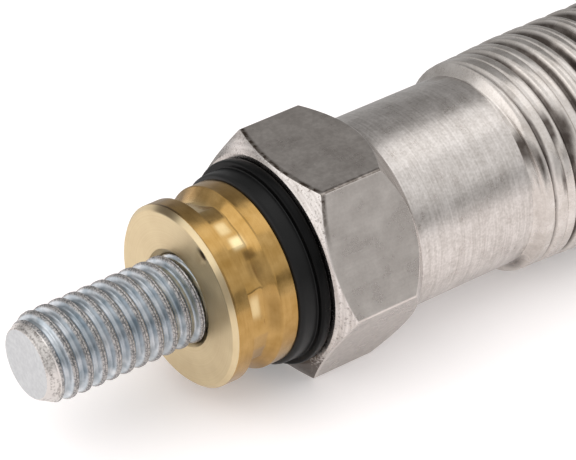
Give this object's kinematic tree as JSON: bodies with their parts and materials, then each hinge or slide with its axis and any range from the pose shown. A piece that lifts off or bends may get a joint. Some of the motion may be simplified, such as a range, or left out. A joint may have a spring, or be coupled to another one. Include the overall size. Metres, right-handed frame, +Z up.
{
  "type": "diesel glow plug",
  "caption": "Metal-sheathed diesel glow plug with a threaded terminal, crimped brass nut, black insulator, hexagon, body thread, conical seat and slim heater tube.",
  "frame": {"origin": "on the plug's axis, at the gauge circle halfway along the conical seat", "axes": "+X along the axis towards the heater tip, -X towards the terminal, +Z up with one hexagon flat facing down"},
  "size_m": [0.0732, 0.0114, 0.01],
  "materials": {
    "nickel_plated_steel": "nickel plated, satin",
    "zinc_plated_steel": "zinc plated, bright bluish",
    "brass": "turned, clean",
    "black_phenolic": "moulded, satin",
    "seal_rubber": "moulded, matt",
    "sheath_alloy": "drawn heat-resisting alloy",
    "coil_wire": "drawn resistance wire",
    "mineral_powder": "packed magnesium oxide"
  },
  "bodies": {
    "root": {"housing": "nickel_plated_steel", "centre_electrode": "zinc_plated_steel", "round_nut": "brass", "insulating_bush": "black_phenolic", "o_ring": "seal_rubber", "sheath_tube": "sheath_alloy", "heating_coil": "coil_wire", "control_coil": "coil_wire", "insulating_powder": "mineral_powder", "sheath_seal": "seal_rubber"}
  },
  "joints": []
}
